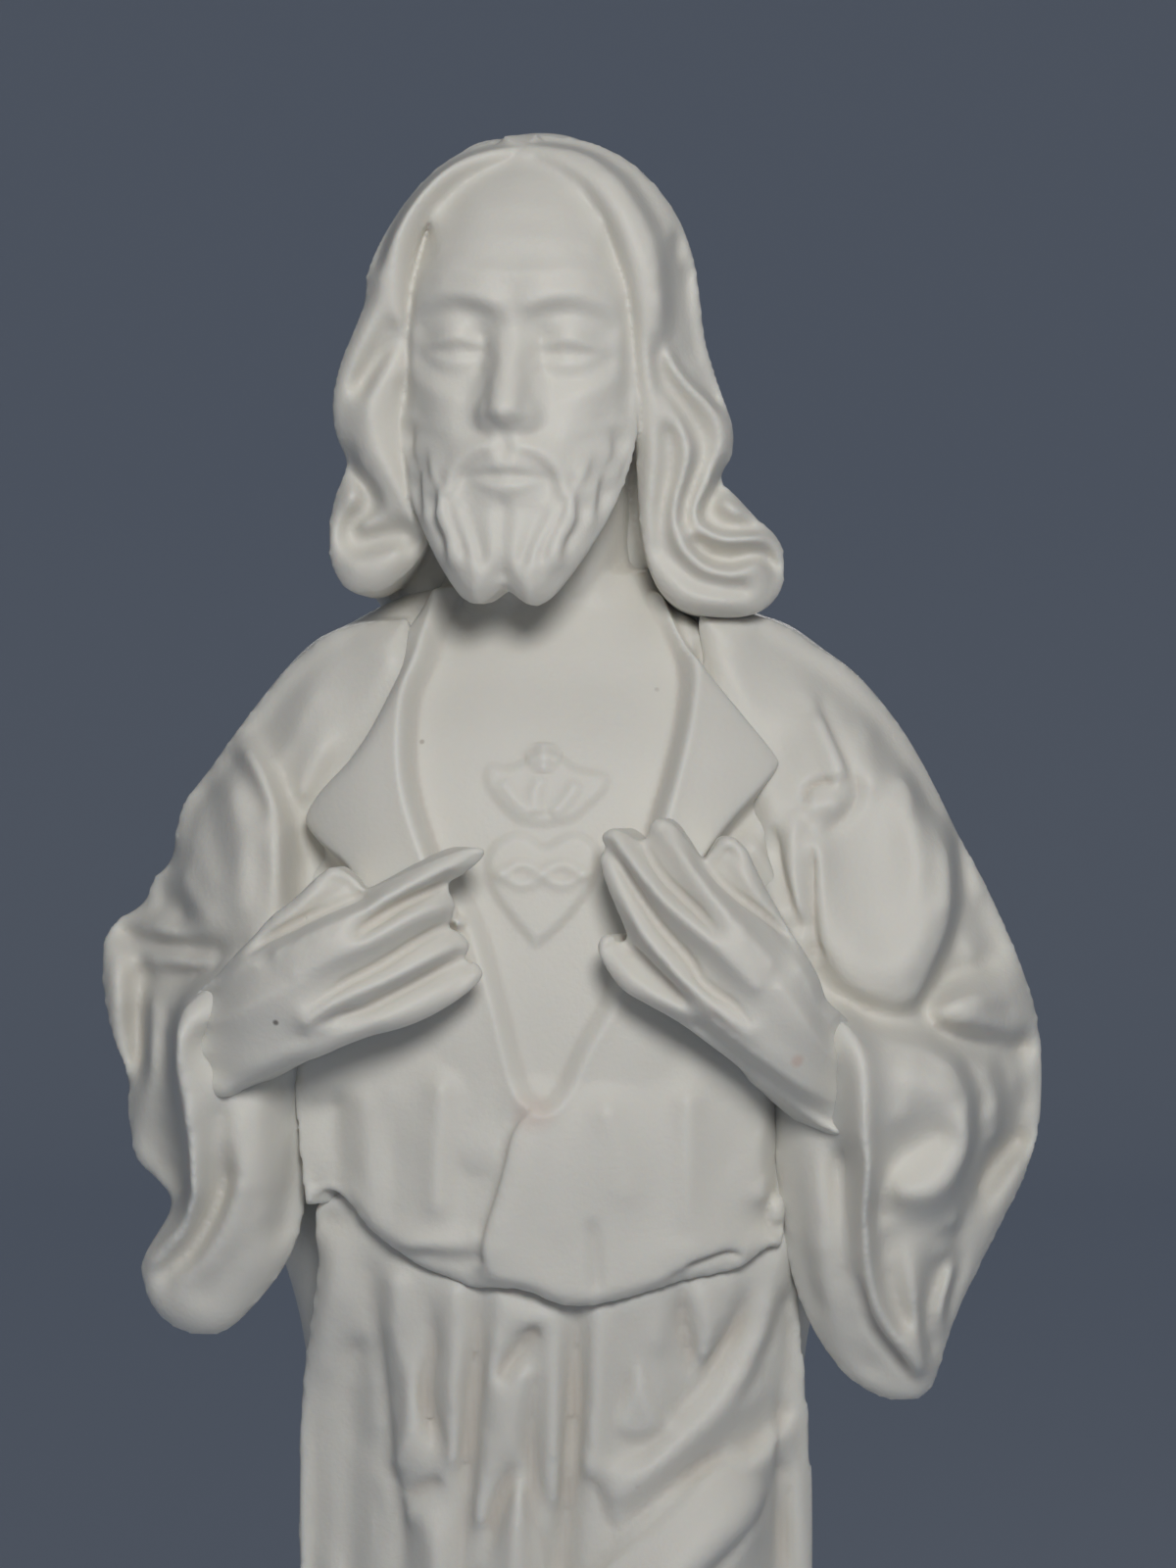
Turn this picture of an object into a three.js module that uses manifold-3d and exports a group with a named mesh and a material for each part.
// A robed, bearded figure with a heart in relief on its chest, cast in one piece with a low plinth.
// Millimetres, +Z up. The figure faces -Y. The origin is the middle of the plinth's underside.
import * as THREE from "three";
import { mergeVertices } from "three/addons/utils/BufferGeometryUtils.js";
import Module from "manifold-3d";

const wasm = await Module();
wasm.setup();

// Driving dimensions
const figureHeight = 380; // soles to crown
const plinthWidth = 112;
const plinthDepth = 96;
const plinthHeight = 20;
const plinthCorner = 24; // cut off each corner, along each side
const ledgeWidth = 4; // the foot of the plinth stands out past its top by this
const footHeight = 7; // height of that foot
const hemSink = 2; // the gown and the feet run down into the plinth by this
const surfaceTone = 0xd9d3c4; // warm white of fine cast alabaster

// Pose, proportions and carving are shares of the figure's height: 1 is a hundredth of figureHeight,
// x to the right, y to the back and z up from the soles.
const share = figureHeight / 100;

// The trunk's two main forms, as stations of form() below
const chest = [
  [0, -0.2, 62.0, 6.5, 5.4],
  [0, -0.3, 65.6, 7.5, 6.2],
  [0, -0.2, 69, 7.7, 6.2],
  [0, 0, 74, 8.2, 6.1],
  [0, 0.3, 79, 8.5, 5.6],
  [0, 0.6, 82.4, 7.0, 4.5],
  [-0.1, 0.7, 84.6, 4.4, 3.7],
  [-0.2, 0.6, 86.4, 3.2, 3.2],
];
const skirt = [
  [0, 0, -30, 12.6, 10.2],
  [0, 0, 6, 10.4, 8.3],
  [0, 0.1, 20, 9.0, 7.2],
  [0, 0.2, 38, 8.1, 6.4],
  [0, 0.2, 54, 8.0, 6.1],
  [0, 0.3, 63, 7.6, 5.7],
  [0, 0.5, 70, 7.2, 5.4],
  [0, 0.8, 76, 7.4, 4.8],
];

const chestBox = 0.76; // squares the chest's rounds off, as box in form() says

// The head is drawn about its own centre and then turned, a little down and to its own right.
const headCentre = new THREE.Vector3(-0.75, -1.3, 92.9);
const headTurn = new THREE.Euler(0.06, -0.02, -0.12, "ZYX");

// A smooth curve through rows of numbers, read at t from 0 to 1.
function through(rows, t) {
  const span = THREE.MathUtils.clamp(t, 0, 0.999999) * (rows.length - 1);
  const i = Math.floor(span);
  const f = span - i;
  const row = (k) => rows[THREE.MathUtils.clamp(k, 0, rows.length - 1)];
  return row(i).map((b, n) => {
    const [a, c, d] = [row(i - 1)[n], row(i + 1)[n], row(i + 2)[n]];
    return b + 0.5 * f * (c - a + f * (2 * a - 5 * b + 4 * c - d + f * (3 * (b - c) + d - a)));
  });
}

// A closed form: a unit sphere's rows laid along a path as ellipses, with round ends.
// A station is [x, y, z, half width, half depth], in shares. across is where the width points, round
// the length of each rounded end, grow an even extra thickness, front packs the columns closer together
// at the front, and box below 1 squares the ellipses off.
function form(stations, detail = {}) {
  const { sides = 10, rows = 8, round = 1, across = [1, 0, 0], grow = 0, front = 0, box = 1 } = detail;
  const geometry = new THREE.SphereGeometry(1, sides, rows);
  const position = geometry.attributes.position;
  const lead = new THREE.Vector3(...across);
  const at = (t) => new THREE.Vector3(...through(stations, t).slice(0, 3));
  const length = at(0).distanceTo(at(0.5)) + at(0.5).distanceTo(at(1));
  for (let i = 0; i < position.count; i++) {
    const unit = new THREE.Vector3().fromBufferAttribute(position, i);
    const along = Math.acos(THREE.MathUtils.clamp(unit.y, -1, 1)) / Math.PI;
    const even = Math.atan2(unit.z, unit.x);
    const around = even - front * Math.cos(even);
    const [x, y, z, wide, deep] = through(stations, along);
    const tangent = at(Math.min(1, along + 0.02)).sub(at(Math.max(0, along - 0.02))).normalize();
    const wideAxis = lead.clone().addScaledVector(tangent, -lead.dot(tangent)).normalize();
    const deepAxis = new THREE.Vector3().crossVectors(tangent, wideAxis);
    const fromEnd = Math.min(along, 1 - along) * length;
    const closing = Math.sqrt(Math.max(0, 1 - (1 - Math.min(1, fromEnd / round)) ** 2));
    const point = new THREE.Vector3(x, y, z)
      .addScaledVector(wideAxis, squared(Math.cos(around), box) * (wide + grow) * closing)
      .addScaledVector(deepAxis, squared(Math.sin(around), box) * (deep + grow) * closing);
    position.setXYZ(i, point.x, point.y, point.z);
  }
  return mergeVertices(bare(geometry), 1e-4);
}

function squared(value, box) {
  return Math.sign(value) * Math.abs(value) ** box;
}

// A fold or a lock: a slim form along a line of [x, y, z] points, thinner at its ends.
function strand(points, size, { sides = 4, rows = 5, ends = 0.5 } = {}) {
  const last = points.length - 1;
  const stations = points.map(([x, y, z], i) => {
    const here = size * (i && i < last ? 1 : ends);
    return [x, y, z, here, here];
  });
  return form(stations, { sides, rows, round: size });
}

function ball(x, y, z, width, depth, height, sides = 12, rows = 8) {
  const geometry = bare(new THREE.SphereGeometry(1, sides, rows).rotateX(Math.PI / 2));
  return mergeVertices(geometry.scale(width, depth, height).translate(x, y, z), 1e-4);
}

function bare(geometry) {
  geometry.deleteAttribute("normal");
  geometry.deleteAttribute("uv");
  return geometry;
}

// Strokes are drawn on a view of the figure: the way the view faces, and its two axes.
const views = {
  front: [new THREE.Vector3(0, -1, 0), "x", "z"],
  back: [new THREE.Vector3(0, 1, 0), "x", "z"],
  left: [new THREE.Vector3(-1, 0, 0), "y", "z"],
  right: [new THREE.Vector3(1, 0, 0), "y", "z"],
};

// A groove of that half width and depth along the points. A negative depth makes a ridge.
const strokeSteps = 10;

function stroke(view, width, depth, ...points) {
  const line = [];
  for (let i = 0; i <= strokeSteps; i++) {
    line.push(through(points, i / strokeSteps));
  }
  return { view, width, depth, line };
}

// How far (a, b) is from a line, and how far along the line's own length, 0 to 1.
function nearest(line, a, b) {
  let best = { off: Infinity, along: 0 };
  for (let i = 0; i + 1 < line.length; i++) {
    const [[a0, b0], [a1, b1]] = [line[i], line[i + 1]];
    const [da, db] = [a1 - a0, b1 - b0];
    const f = THREE.MathUtils.clamp(((a - a0) * da + (b - b0) * db) / (da * da + db * db || 1), 0, 1);
    const off = Math.hypot(a - a0 - f * da, b - b0 - f * db);
    if (off < best.off) {
      best = { off, along: (i + f) / (line.length - 1) };
    }
  }
  return best;
}

function carve(geometry, strokes) {
  geometry.computeVertexNormals();
  const position = geometry.attributes.position;
  const normals = geometry.attributes.normal.clone();
  for (let i = 0; i < position.count; i++) {
    const point = new THREE.Vector3().fromBufferAttribute(position, i);
    const normal = new THREE.Vector3().fromBufferAttribute(normals, i);
    let press = 0;
    for (const { view, width, depth, line } of strokes) {
      const [facing, across, up] = views[view];
      const shown = THREE.MathUtils.clamp(normal.dot(facing) * 2.5, 0, 1);
      const { off, along } = nearest(line, point[across], point[up]);
      const taper = Math.min(1, 5 * along + 0.3, 5 * (1 - along) + 0.3);
      press += shown * depth * taper * Math.exp(-((off / width) ** 2));
    }
    point.addScaledVector(normal, -press);
    position.setXYZ(i, point.x, point.y, point.z);
  }
  geometry.deleteAttribute("normal");
  return geometry;
}

// From shares to millimetres, standing on the plinth.
function standing(geometry) {
  return geometry.scale(share, share, share).translate(0, 0, plinthHeight);
}

function turned(geometry) {
  return geometry.applyMatrix4(new THREE.Matrix4().makeRotationFromEuler(headTurn))
    .translate(headCentre.x, headCentre.y, headCentre.z);
}

function solid(geometry) {
  const merged = mergeVertices(geometry, 1e-3);
  return new wasm.Manifold(new wasm.Mesh({
    numProp: 3,
    vertProperties: merged.attributes.position.array,
    triVerts: new Uint32Array(merged.index.array),
  }));
}

function joined(geometries) {
  return geometries.map((geometry) => solid(standing(geometry))).reduce((whole, next) => whole.add(next));
}

// A block with that outline in the front view, from inside the figure to well before it.
const blockBack = 2.5;
const blockDepth = 20;

function block(outline) {
  const shape = new THREE.Shape(outline.map(([x, z]) => new THREE.Vector2(x, z)));
  const geometry = bare(new THREE.ExtrudeGeometry(shape, { depth: blockDepth, bevelEnabled: false }));
  return solid(standing(geometry.rotateX(Math.PI / 2).translate(0, blockBack, 0)));
}

// A layer of cloth, or a relief: the part of a slightly larger form that lies inside an outline.
function layer(stations, grow, outline, detail) {
  return solid(standing(form(stations, { ...detail, grow }))).intersect(block(outline));
}

// The y of a form's front at (x, z).
function frontOf(stations, x, z, box = 1) {
  let [low, high] = [0, 1];
  for (let i = 0; i < 20; i++) {
    const middle = (low + high) / 2;
    if (through(stations, middle)[2] < z) {
      low = middle;
    } else {
      high = middle;
    }
  }
  const [, y, , wide, deep] = through(stations, low);
  const aside = Math.min(0.97, Math.abs(x) / wide);
  return y - deep * (1 - aside ** (2 / box)) ** (box / 2);
}

// Points [x, z] laid on a form's front, that much above it.
function lying(stations, above, points, box = 1) {
  return points.map(([x, z]) => [x, frontOf(stations, x, z, box) - above, z]);
}

function smooth(points, steps) {
  return Array.from({ length: steps + 1 }, (_, i) => through(points, i / steps));
}

// Gown from the waist down, with the mantle drawn across it and falling to the lower left

function gown() {
  const folds = [
    stroke("front", 0.65, 0.8, [-5.7, 66], [-5.5, 63], [-5.0, 57], [-4.9, 48], [-5.4, 36], [-6.0, 20]),
    stroke("front", 0.6, 0.5, [-3.9, 65], [-3.9, 62.5], [-3.5, 59], [-3.6, 52]),
    stroke("front", 0.6, 0.7, [-2.3, 65], [-2.4, 61.6], [-2.9, 55], [-3.0, 44], [-2.4, 30], [-2.2, 8]),
    stroke("front", 0.6, 0.8, [0.5, 64.5], [0.6, 60.8], [0.3, 55], [0.5, 44], [0.2, 28], [0.7, 4]),
    stroke("front", 0.6, 0.5, [3.7, 64.2], [4.0, 62.8], [4.5, 61.1]),
    stroke("front", 0.6, 0.6, [6.2, 64.7], [5.7, 62.8], [4.5, 61]),
    stroke("front", 1.5, -0.5, [3.4, 50], [3.4, 38], [3.0, 28]),
    stroke("front", 0.65, 0.6, [5.6, 52], [5.4, 36], [5.9, 16], [6.4, 4]),
    stroke("front", 0.65, 0.6, [3.0, 26], [3.4, 14], [3.2, 2]),
    stroke("front", 0.65, 0.5, [-4.4, 22], [-4.0, 12], [-4.6, 2]),
  ];
  for (const y of [-2.6, 0.4, 3.2]) {
    folds.push(stroke("left", 0.8, 0.6, [y * 0.9, 62], [y, 36], [y * 1.15, 6]));
    folds.push(stroke("right", 0.8, 0.6, [y * 0.9, 62], [y, 36], [y * 1.15, 6]));
  }
  return carve(form(skirt, { sides: 30, rows: 8, round: 1.2, front: 0.35 }), folds);
}

function wrap() {
  const upperEdge = smooth([[9.5, 67], [8.4, 62.6], [6.9, 60.1], [4.7, 58.8], [3.0, 57.5], [0.9, 55.2],
    [-3.0, 49], [-7.0, 42], [-12, 36]], 8);
  const hem = smooth([[-12, 26], [-7, 22], [-2, 16], [3, 8], [6, 5], [12, 3]], 5);
  const folds = [
    [[7.6, 59.0], [4.6, 56.6], [1.4, 52.6], [-2.4, 47.0], [-7.2, 40.0]],
    [[8.1, 54.0], [4.4, 49.0], [-0.4, 41.6], [-6.8, 33.0]],
    [[8.0, 46.0], [5.2, 38.6], [0.4, 30.4], [-5.6, 24.0]],
    [[7.6, 40.0], [6.2, 30.0], [3.0, 20.0], [-1.2, 15.6]],
    [[8.4, 32.0], [7.4, 20.0], [5.4, 9.0]],
  ].map((line) => strand(lying(skirt, 0.5, line), 0.85, { ends: 0.3 }));
  const detail = { sides: 20, rows: 7, round: 1.2, front: 0.3 };
  const cloth = layer(skirt, 0.6, [...upperEdge, ...hem].reverse(), detail);
  return cloth.add(joined(folds));
}

// Upper gown: bare chest in the open neck, cloth bloused over a girdle, and two wide lapels

const neckEdge = [[-3.2, 85.6], [-3.9, 83.2], [-4.4, 81.6], [-4.3, 79.5], [-3.6, 77.2], [-2.3, 75.2],
  [-1.7, 73.2], [-0.9, 70.2], [-0.3, 69.5], [0.6, 70.6], [1.9, 73.3], [3.1, 78.0], [3.8, 80.4], [4.1, 82.9],
  [3.6, 85.6]];

function blouse() {
  const folds = [
    stroke("front", 0.6, 0.5, [-0.6, 69.9], [-1.2, 69], [-1.7, 67.3], [-2.2, 64]),
    stroke("front", 0.7, 0.4, [-5.6, 71.5], [-5.2, 68.5], [-4.8, 65.6]),
    stroke("front", 0.7, 0.4, [6.0, 71], [6.0, 68], [6.4, 65.6]),
    stroke("front", 0.6, 0.3, [1.2, 66.4], [1.3, 63.4]),
  ];
  const body = form(chest, { sides: 26, rows: 9, round: 1, front: 0.25, box: chestBox });
  const position = body.attributes.position;
  for (let i = 0; i < position.count; i++) {
    const hemLift = 0.055 * (position.getX(i) - 1) ** 2;
    const low = THREE.MathUtils.clamp((72 - position.getZ(i)) / 8, 0, 1);
    position.setZ(i, position.getZ(i) + hemLift * low);
  }
  const skin = form(chest, { sides: 14, rows: 7, round: 1, grow: -0.45, front: 0.3, box: chestBox });
  const cloth = solid(standing(carve(body, folds))).subtract(block(smooth(neckEdge, 15)));
  return cloth.add(solid(standing(skin)));
}

function lapels() {
  const right = [[-3.4, 84.9], [-4.0, 83.2], [-4.5, 81.6], [-4.4, 79.5], [-3.7, 77.2], [-3.3, 75.6],
    [-5.4, 74.8], [-7.0, 76.9], [-7.6, 78.2], [-7.2, 79.2], [-6.1, 80.5], [-5.2, 82.2], [-4.3, 84.4]];
  const left = [[3.7, 84.9], [4.7, 83.1], [5.8, 81.4], [6.8, 80.1], [6.7, 79.4], [4.6, 76.6], [3.4, 75.6],
    [3.0, 77.2], [3.6, 79.6], [4.1, 81.4], [4.1, 83.2]];
  const detail = { sides: 22, rows: 8, round: 1, front: 0.25, box: chestBox };
  return layer(chest, 0.65, right, detail).add(layer(chest, 0.65, left, detail));
}

// Heart with a band across it, flames and a cross, in low relief on the bare chest

function emblem() {
  const [centre, low, wide] = [-0.45, 74.3, 1.75];
  const heart = new THREE.Shape();
  heart.moveTo(centre, low);
  heart.bezierCurveTo(centre + 0.9, low + 0.9, centre + wide, low + 1.6, centre + wide, low + 2.6);
  heart.bezierCurveTo(centre + wide, low + 3.8, centre + 0.3, low + 3.8, centre, low + 3.0);
  heart.bezierCurveTo(centre - 0.3, low + 3.8, centre - wide, low + 3.8, centre - wide, low + 2.6);
  heart.bezierCurveTo(centre - wide, low + 1.6, centre - 0.9, low + 0.9, centre, low);
  const outline = (points) => points.map(([x, z]) => [centre + x, low + z]);
  const flames = outline([[0, 2.6], [1.0, 3.4], [1.35, 5.1], [0.5, 4.3], [0, 5.3], [-0.5, 4.3], [-1.35, 5.1],
    [-1.0, 3.4]]);
  const cross = outline([[-0.18, 4.6], [0.18, 4.6], [0.18, 5.5], [0.6, 5.5], [0.6, 5.85], [0.18, 5.85],
    [0.18, 6.4], [-0.18, 6.4], [-0.18, 5.85], [-0.6, 5.85], [-0.6, 5.5], [-0.18, 5.5]]);
  const detail = { sides: 18, rows: 8, round: 1, front: 0.3, box: chestBox };
  return [heart.getPoints(4).slice(0, -1).map(({ x, y }) => [x, y]), flames, cross]
    .map((points) => layer(chest, -0.05, points, detail))
    .reduce((whole, next) => whole.add(next));
}

// Mantle over the shoulders, the back and the upper arms

function mantle() {
  const folds = [
    stroke("front", 0.6, 0.6, [-11.2, 79.8], [-11.9, 77.7], [-11.3, 76.1], [-10.3, 73.9]),
    stroke("front", 0.6, 0.5, [-10.0, 80.1], [-8.9, 78.4], [-8.3, 77.4]),
    ...[-6.9, -4.5, -2.2, 0.3, 2.6, 4.8, 6.9].map((x, i) => stroke("back", 1.0, 1.2,
      [x * 0.5, 82 - 3 * (i % 2)], [x * 1.1, 72], [x * 0.8, 60], [x, 36], [x * 1.15, 4])),
  ];
  const rightPillow = form([
    [-4.6, 0.9, 83.6, 1.7, 2.4],
    [-7.3, 0.3, 81.2, 2.2, 3.4],
    [-9.2, -0.4, 78.7, 2.2, 4.1],
    [-10.0, -0.7, 76.2, 2.3, 4.1],
    [-10.6, -0.8, 73.8, 1.7, 3.2],
  ], { sides: 12, rows: 7, round: 1.4 });
  const rightBack = form([
    [-5.8, 1.6, 82.6, 1.6, 2.6],
    [-8.2, 1.5, 79.8, 2.2, 3.6],
    [-10.0, 1.3, 76.8, 2.2, 3.8],
    [-11.6, 1.0, 73.6, 3.0, 4.0],
    [-11.6, 0.5, 70.6, 2.9, 3.8],
    [-12.0, 0, 67.4, 1.8, 2.8],
    [-11.6, -0.6, 65.2, 0.9, 1.6],
  ], { sides: 10, rows: 8, round: 1.2 });
  const leftPillow = form([
    [4.8, 0.9, 83.6, 1.7, 2.4],
    [7.7, 0.2, 81.2, 2.5, 3.4],
    [9.8, -0.5, 78.2, 2.8, 4.2],
    [10.4, -0.8, 75.4, 3.0, 4.4],
    [10.1, -0.9, 72.3, 1.9, 3.4],
  ], { sides: 12, rows: 7, round: 1.2 });
  const leftBack = form([
    [6.4, 1.6, 82.4, 1.9, 2.8],
    [9.0, 1.4, 79.2, 2.7, 3.7],
    [10.9, 1.2, 76.2, 2.9, 4.1],
    [12.4, 0.8, 72.6, 3.1, 4.3],
    [12.7, 0.3, 69.6, 3.0, 4.1],
    [12.3, -0.6, 66.8, 2.6, 3.4],
    [11.9, -1.8, 63.8, 1.4, 2.2],
  ], { sides: 10, rows: 9, round: 1.4 });
  const yoke = form([
    [-7.6, 1.2, 82.2, 2.6, 1.4],
    [-4.2, 1.2, 83.6, 2.8, 1.9],
    [0, 1.4, 84.6, 3.0, 2.0],
    [4.4, 1.2, 83.7, 2.8, 1.9],
    [7.9, 1.2, 82.2, 2.6, 1.4],
  ], { sides: 9, rows: 6, across: [0, 1, 0] });
  const back = form([
    [0, 2.4, 4, 10.3, 7.5],
    [0, 2.0, 16, 9.2, 6.8],
    [0, 1.7, 32, 8.3, 6.3],
    [0, 1.6, 48, 8.0, 5.9],
    [0, 1.6, 60, 7.9, 5.5],
    [0, 1.8, 66, 9.4, 4.9],
    [0, 2.0, 72, 11.4, 4.6],
    [0, 2.0, 77.5, 10.0, 4.3],
    [0, 1.8, 81.6, 7.2, 3.9],
    [0, 1.6, 84.6, 4.4, 3.2],
  ], { sides: 22, rows: 9, round: 2, front: -0.35 });
  return [
    yoke,
    ...[rightPillow, rightBack, leftPillow, leftBack, back].map((piece) => carve(piece, folds)),
    strand([[7.4, -3.4, 83.6], [8.3, -3.9, 82.1], [9.0, -4.2, 80.2], [9.1, -4.4, 78.9], [8.4, -4.7, 78.1],
      [7.8, -4.9, 78.5], [8.0, -4.9, 79.3]], 0.5, { rows: 7 }),
    strand(lying(chest, 0.1, [[7.2, 78.8], [7.3, 75.7], [7.5, 73.4]], chestBox), 0.6),
    strand(lying(chest, 0.1, [[5.8, 77.4], [6.3, 76.2], [6.8, 74.4]], chestBox), 0.5),
    strand([[-14.0, 0.4, 74.5], [-12.7, -1.6, 74.5], [-11.4, -2.8, 74.4], [-10.4, -3.6, 73.9]], 0.6),
    strand([[-14.1, 0.8, 74.2], [-14.0, 0.6, 72.0], [-13.8, 0.2, 70.2]], 0.6),
    strand([[11.7, -3.2, 72.5], [12.8, -2.6, 73.1], [14.0, -1.6, 73.2], [14.8, -0.4, 71.5]], 0.6),
  ];
}

// Wide sleeves hanging open from the forearms

function sleeves() {
  const pieces = [
    [[-11.6, 1.0, 71.8, 2.9, 2.8], [-11.4, -3.4, 71.6, 2.2, 2.4], [-10.7, -6.2, 71.7, 1.9, 1.9],
      [-10.2, -7.4, 71.9, 1.4, 1.6]],
    [[-12.0, -3.2, 73.2, 1.2, 3.0], [-12.1, -3.4, 70.4, 1.1, 3.6], [-11.8, -3.8, 67.6, 1.1, 3.4],
      [-11.9, -4.0, 65.2, 1.0, 2.6], [-11.4, -4.2, 63.6, 0.9, 1.8]],
    [[-9.4, -3.4, 71.4, 1.1, 3.2], [-9.2, -3.6, 68.8, 1.2, 3.4], [-9.4, -4.0, 66.2, 1.8, 3.2],
      [-10.3, -4.2, 64.2, 2.3, 2.8], [-10.5, -4.3, 62.5, 1.5, 1.8]],
    [[12.4, 1.0, 71.2, 3.0, 3.0], [11.9, -2.8, 70.8, 2.8, 2.9], [10.9, -5.4, 70.6, 2.3, 2.5],
      [9.6, -7.2, 70.8, 1.6, 1.8]],
    [[10.8, -3.6, 72.4, 2.0, 3.6], [11.1, -3.8, 69.4, 2.1, 4.0], [10.9, -3.9, 66.6, 2.0, 3.8],
      [10.7, -4.0, 64.0, 1.6, 3.0], [11.2, -4.2, 60.9, 0.7, 1.4]],
    [[7.9, -3.0, 71.4, 1.2, 3.0], [8.0, -3.2, 68.0, 1.4, 3.2], [8.5, -3.4, 65.0, 1.4, 2.8],
      [9.3, -3.6, 62.6, 1.4, 2.2], [10.4, -3.8, 60.8, 1.0, 1.2]],
    [[13.0, -1.4, 71.0, 2.2, 3.4], [13.2, -2.0, 68.0, 2.1, 3.2], [12.8, -2.6, 65.2, 1.4, 2.6],
      [12.0, -3.4, 62.6, 0.9, 1.8], [11.5, -4.0, 60.8, 0.5, 1.0]],
  ].map((stations) => form(stations, { sides: 8, rows: 6, round: 1.2 }));
  return [
    ...pieces,
    strand([[-10.4, -7.0, 73.3], [-11.0, -6.8, 72.1], [-11.2, -6.7, 70.2], [-10.9, -6.9, 67.6],
      [-11.3, -6.3, 66], [-12.0, -5.6, 64.6]], 0.5, { rows: 7 }),
    strand([[9.3, -7.6, 72.4], [9.4, -7.5, 70.6], [9.1, -7.2, 68.3], [9.3, -7.0, 66.4], [9.2, -6.6, 64.4],
      [9.9, -6.0, 62.6], [11.2, -5.0, 60.8]], 0.5, { rows: 8 }),
    strand([[11.2, -7.2, 71.6], [12.3, -6.4, 70.8], [12.9, -5.9, 69.4], [12.8, -6.0, 67.6],
      [12.0, -6.8, 66.9], [10.6, -7.2, 67.1]], 0.6, { rows: 7 }),
  ];
}

// Hands laid on the breast

function hand(palm, across, fingers) {
  return [
    form(palm, { sides: 8, rows: 6, across, round: 0.8 }),
    ...fingers.map((line) => form(line, { sides: 5, rows: 5, across, round: 0.5 })),
  ];
}

function hands() {
  const right = hand([
    [-11.0, -6.8, 71.2, 1.5, 1.2],
    [-9.9, -7.9, 71.5, 1.5, 1.05],
    [-8.1, -8.5, 72.6, 1.95, 1.1],
    [-6.3, -8.4, 73.7, 2.1, 0.95],
    [-4.9, -8.1, 74.5, 1.7, 0.7],
  ], [-0.49, 0, 0.87], [
    [[-6.6, -8.3, 75.0, 0.7, 0.7], [-4.6, -8.3, 76.1, 0.66, 0.62], [-2.1, -7.0, 77.2, 0.4, 0.42]],
    [[-6.2, -8.6, 74.0, 0.7, 0.7], [-4.3, -8.5, 75.0, 0.64, 0.62], [-2.3, -7.1, 75.9, 0.42, 0.42]],
    [[-6.2, -8.5, 73.0, 0.66, 0.66], [-4.2, -8.4, 73.9, 0.6, 0.6], [-2.1, -7.1, 74.9, 0.42, 0.42]],
    [[-6.6, -8.2, 72.1, 0.6, 0.6], [-4.5, -8.1, 72.7, 0.55, 0.56], [-2.2, -7.0, 73.9, 0.36, 0.38]],
    [[-9.2, -7.6, 73.2, 0.8, 0.7], [-7.5, -7.2, 75.2, 0.66, 0.66], [-5.7, -6.6, 75.8, 0.5, 0.5]],
  ]);
  const left = hand([
    [10.0, -6.8, 70.1, 1.6, 1.3],
    [8.8, -7.9, 70.8, 1.6, 1.1],
    [7.3, -8.5, 72.2, 2.0, 1.1],
    [5.8, -8.5, 73.7, 2.1, 1.0],
    [4.8, -8.2, 74.7, 1.7, 0.7],
  ], [0.7, 0, 0.7], [
    [[6.3, -8.4, 75.0, 0.74, 0.7], [5.0, -8.3, 76.6, 0.66, 0.64], [3.2, -6.9, 78.3, 0.42, 0.44]],
    [[5.2, -8.6, 74.4, 0.72, 0.7], [3.4, -8.4, 76.2, 0.64, 0.62], [1.6, -7.0, 78.0, 0.42, 0.44]],
    [[5.0, -8.4, 72.9, 0.7, 0.7], [3.0, -8.4, 74.7, 0.62, 0.62], [1.5, -7.1, 76.9, 0.4, 0.42]],
    [[4.4, -8.2, 72.4, 0.6, 0.6], [2.7, -8.1, 73.2, 0.54, 0.54], [1.3, -7.1, 74.7, 0.36, 0.38]],
    [[7.9, -7.2, 72.8, 0.8, 0.7], [6.8, -6.8, 74.6, 0.66, 0.62], [5.6, -6.2, 75.8, 0.46, 0.46]],
  ]);
  return [...right, ...left];
}

// Head about its own centre: the eyes on z = 0, the crown at 6.4 under the hair, the chin at -6.9

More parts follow.
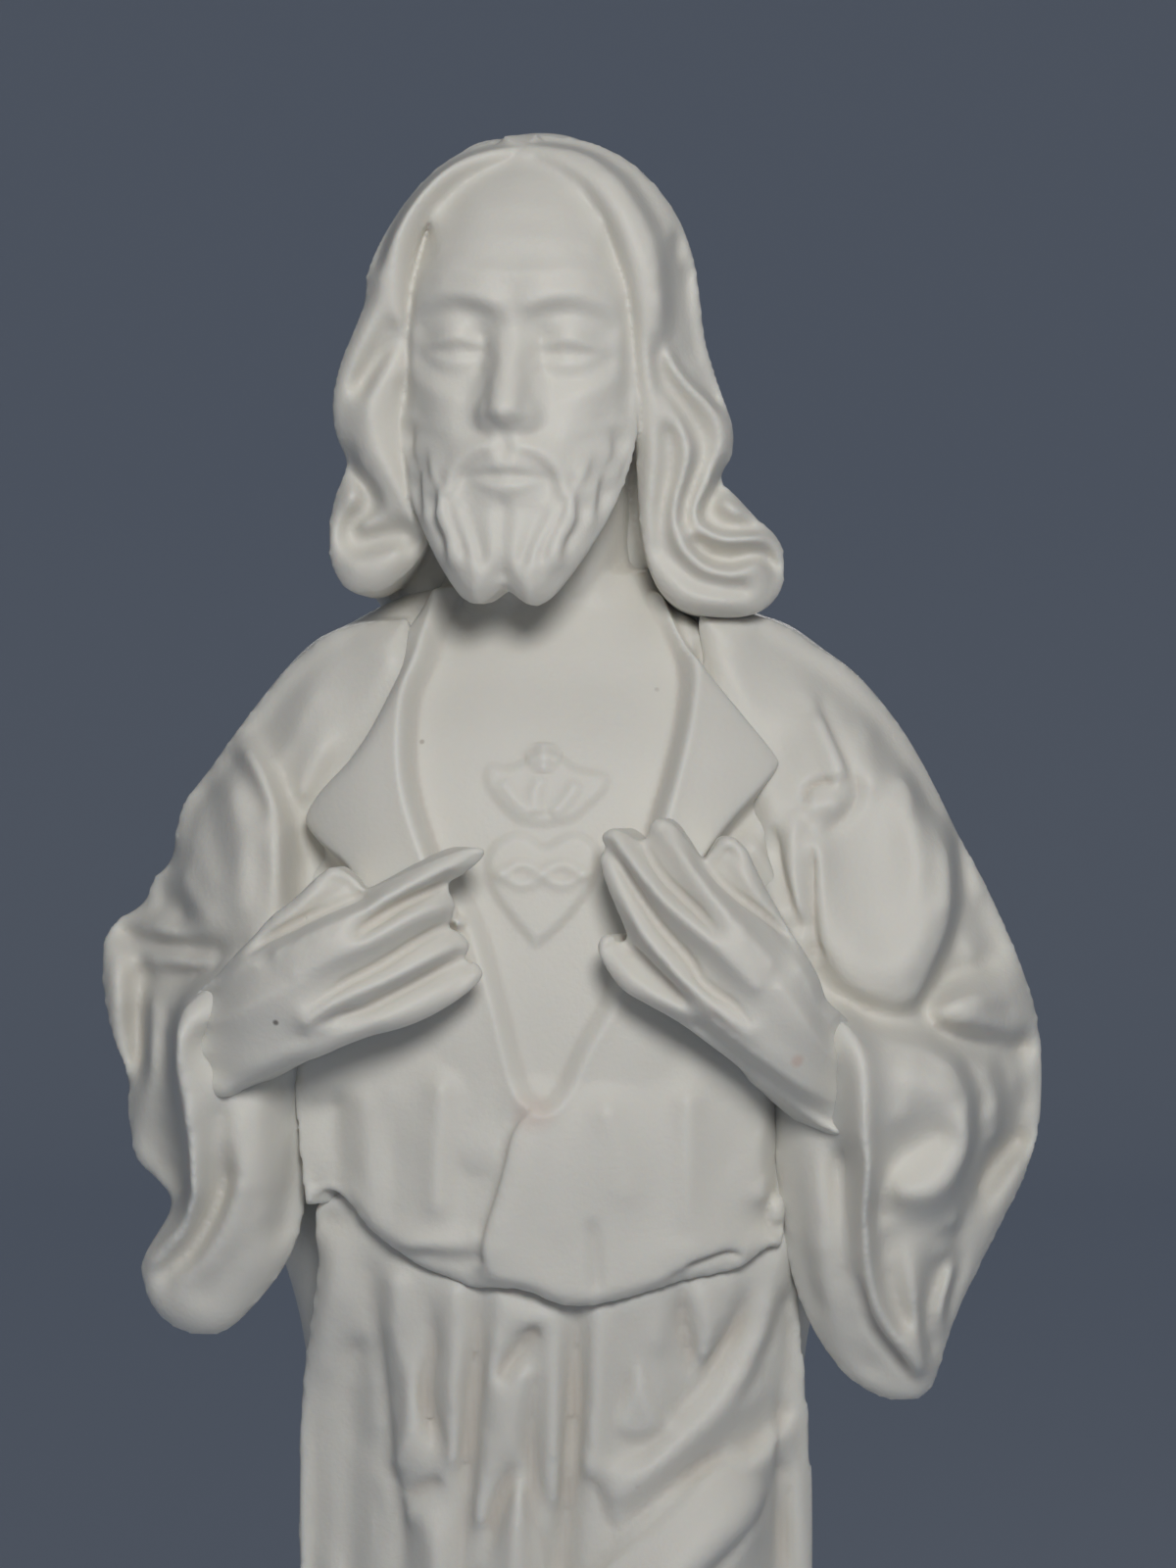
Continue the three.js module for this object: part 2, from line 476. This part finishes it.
function face() {
  const hollows = [
    stroke("front", 0.8, 0.75, [-2.7, 0.1], [-1.6, 0.2], [-0.9, 0]),
    stroke("front", 0.8, 0.75, [2.7, 0.1], [1.6, 0.2], [0.9, 0]),
    stroke("front", 0.9, 0.35, [-2.6, -2.4], [-2.9, -4.4]),
    stroke("front", 0.9, 0.35, [2.6, -2.4], [2.9, -4.4]),
  ];
  const skull = form([
    [0, -3.4, -6.9, 1.4, 1.3],
    [0, -2.7, -5.4, 2.8, 2.4],
    [0, -2.0, -3.4, 3.7, 3.1],
    [0, -1.2, 0, 4.3, 4.0],
    [0, -0.6, 3.0, 4.4, 4.4],
    [0, 0, 5.8, 3.4, 3.4],
  ], { sides: 16, rows: 9, round: 1.6, front: 0.3 });
  const nose = form([
    [0, -4.9, 1.0, 0.42, 0.4],
    [0, -5.4, -0.6, 0.42, 0.5],
    [0, -5.8, -2.0, 0.6, 0.75],
    [0, -5.3, -2.7, 0.75, 0.7],
  ], { sides: 6, rows: 5, round: 0.5 });
  const pieces = [carve(skull, hollows), nose];
  for (const s of [-1, 1]) {
    pieces.push(
      ball(s * 1.75, -3.9, 0.2, 1.05, 0.8, 0.7, 7, 5),
      strand([[s * 0.8, -4.7, 0.8], [s * 1.9, -4.6, 1.15], [s * 3.1, -3.9, 0.7]], 0.4, { sides: 4, rows: 4 }),
      strand([[0, -5.1, -3.4], [s * 1.1, -4.95, -3.7], [s * 2.0, -4.2, -4.9]], 0.42, { rows: 5 }),
    );
  }
  pieces.push(strand([[-1.0, -4.7, -4.4], [0, -5.0, -4.45], [1.0, -4.7, -4.4]], 0.4, { rows: 5 }));
  return pieces.map(turned);
}

function beard() {
  const pieces = [ball(0, -3.5, -5.9, 2.7, 1.9, 1.6, 8, 5)];
  for (const s of [-1, 1]) {
    pieces.push(
      form([[s * 4.1, -1.4, -2.2, 0.5, 0.8], [s * 3.6, -2.4, -4.4, 0.9, 1.1], [s * 2.4, -3.4, -6.0, 1.3, 1.4],
        [s * 1.4, -4.0, -7.4, 0.7, 0.7]], { sides: 6, rows: 5, round: 0.9 }),
      ball(s * 0.95, -4.1, -6.9, 1.0, 1.2, 1.45, 6, 5),
    );
  }
  return pieces.map(turned);
}

// Long hair parted in the middle, in wavy locks that curl on the shoulders

function hair() {
  const cap = form([
    [-1.0, 0.9, 99.9, 2.4, 3.0],
    [-0.9, 0.9, 98.2, 4.0, 4.7],
    [-0.9, 1.2, 94.8, 4.9, 5.4],
    [-0.7, 1.6, 90.5, 5.2, 4.6],
    [-0.2, 2.2, 86.4, 5.8, 3.4],
    [0, 2.6, 83.6, 4.6, 2.2],
  ], { sides: 14, rows: 7, round: 1.8 });
  const locks = [
    [[-1.0, -4.2, 98.9], [-3.6, -4.3, 97.8], [-5.0, -3.9, 96.0], [-5.4, -3.4, 93.4], [-6.2, -3.0, 91.4],
      [-5.8, -2.8, 89.4], [-5.4, -2.8, 87.8], [-6.2, -3.0, 86.4], [-6.2, -3.2, 85.6]],
    [[-1.4, -1.8, 99.4], [-3.9, -2.0, 97.8], [-5.7, -1.8, 95.0], [-6.5, -1.2, 91.8], [-6.1, -0.8, 89.2],
      [-6.8, -1.0, 87.2], [-6.4, -1.4, 85.2]],
    [[-1.1, -4.2, 98.6], [1.2, -4.2, 97.9], [2.8, -3.8, 95.8], [3.4, -3.4, 93.2], [4.1, -3.2, 91.0],
      [4.5, -3.0, 89.4], [4.0, -2.8, 87.6], [4.8, -3.0, 86.2], [5.9, -3.0, 86.0], [6.4, -2.6, 86.4]],
    [[-0.9, -1.8, 99.4], [1.8, -2.0, 98.5], [3.5, -1.8, 96.0], [4.2, -1.4, 92.6], [4.8, -1.0, 90.4],
      [4.6, -0.8, 88.6], [5.9, -0.8, 87.2], [6.3, -1.2, 85.6]],
    [[2.6, -3.4, 90.6], [3.4, -3.4, 89.4], [3.1, -3.2, 87.6], [3.9, -3.2, 85.9], [5.4, -3.0, 85.3]],
    [[-4.6, -2.6, 90.0], [-4.4, -2.6, 88.2], [-5.0, -2.6, 86.4], [-5.4, -2.6, 85.4]],
    [[2.4, 3.8, 98.4], [4.3, 2.4, 95.6], [4.8, 2.0, 91.8], [5.3, 2.0, 88.4], [5.6, 1.6, 85.2]],
    [[-4.4, 3.8, 98.4], [-6.0, 2.4, 95.6], [-6.3, 2.0, 91.6], [-6.5, 2.0, 88.2], [-6.2, 1.6, 85.2]],
    [[-3.0, 4.6, 98.2], [-4.3, 5.6, 94.0], [-4.0, 5.4, 89.6], [-4.6, 4.6, 84.2]],
    [[-1.4, 5.2, 98.8], [-1.6, 6.7, 94.4], [-2.0, 6.2, 89.6], [-1.5, 5.2, 83.4]],
    [[0.2, 5.2, 98.8], [0.9, 6.6, 94.4], [0.5, 6.2, 89.6], [1.2, 5.0, 83.8]],
    [[1.9, 4.6, 98.2], [2.9, 5.6, 94.0], [3.4, 5.4, 89.6], [3.0, 4.6, 84.4]],
  ].map((line) => strand(line, 0.9, { sides: 5, rows: Math.max(5, line.length - 1), ends: 0.7 }));
  return [cap, ...locks];
}

function neck() {
  return form([[-0.1, 1.0, 80, 4.0, 3.4], [-0.3, 0.4, 85, 3.2, 3.1], [-0.6, -0.2, 90, 3.0, 3.1]],
    { sides: 12, rows: 5 });
}

// Bare toes at the hem

function feet() {
  const foot = (x, y, turn) => [0, 1, 2, 3, 4].map((toe) => {
    const side = turn * (toe - 1.6) * 0.82;
    const size = toe ? 0.5 - 0.03 * toe : 0.72;
    return form([
      [x + side * 0.7, y + 3, 1.2, size * 1.3, size * 1.8],
      [x + side, y + 0.25 * toe, 0.6, size, size * 1.1],
      [x + side, y - 1.1 + 0.3 * toe, 0.3, size * 0.8, size * 0.6],
    ], { sides: 5, rows: 4, round: 0.6 });
  });
  return [...foot(-3.4, -9.2, -1), ...foot(3.9, -9.6, 1)];
}

// Low plinth with cut corners and a ledge round its foot

function slab(width, depth, corner, from, to) {
  const [w, d] = [width / 2, depth / 2];
  const [x, y] = [w - corner, d - corner];
  const outline = corner ? [[w, -y], [w, y], [x, d], [-x, d], [-w, y], [-w, -y], [-x, -d], [x, -d]]
    : [[w, -d], [w, d], [-w, d], [-w, -d]];
  const shape = new THREE.Shape(outline.map(([a, b]) => new THREE.Vector2(a, b)));
  const geometry = new THREE.ExtrudeGeometry(shape, { depth: to - from, bevelEnabled: false });
  return solid(bare(geometry).translate(0, 0, from));
}

function plinth() {
  const step = 2 * ledgeWidth;
  return slab(plinthWidth, plinthDepth, plinthCorner, 0, footHeight)
    .add(slab(plinthWidth - step, plinthDepth - step, plinthCorner, footHeight / 2, plinthHeight));
}

function statue() {
  const above = slab(figureHeight, figureHeight, 0, plinthHeight - hemSink, 2 * figureHeight);
  const figure = joined([
    gown(), ...mantle(), ...sleeves(), ...hands(), ...face(), ...beard(), ...hair(), neck(), ...feet(),
  ]);
  const whole = [wrap(), blouse(), lapels(), emblem()].reduce((sum, next) => sum.add(next), figure)
    .intersect(above).add(plinth());
  const { vertProperties, triVerts } = whole.getMesh();
  const geometry = new THREE.BufferGeometry()
    .setAttribute("position", new THREE.BufferAttribute(vertProperties, 3))
    .setIndex(new THREE.BufferAttribute(triVerts, 1));
  const material = new THREE.MeshStandardMaterial({ color: surfaceTone, roughness: 0.62, metalness: 0 });
  const mesh = new THREE.Mesh(geometry, material);
  mesh.name = "statue";
  return mesh;
}

const model = new THREE.Group();
model.add(statue());

export default model;
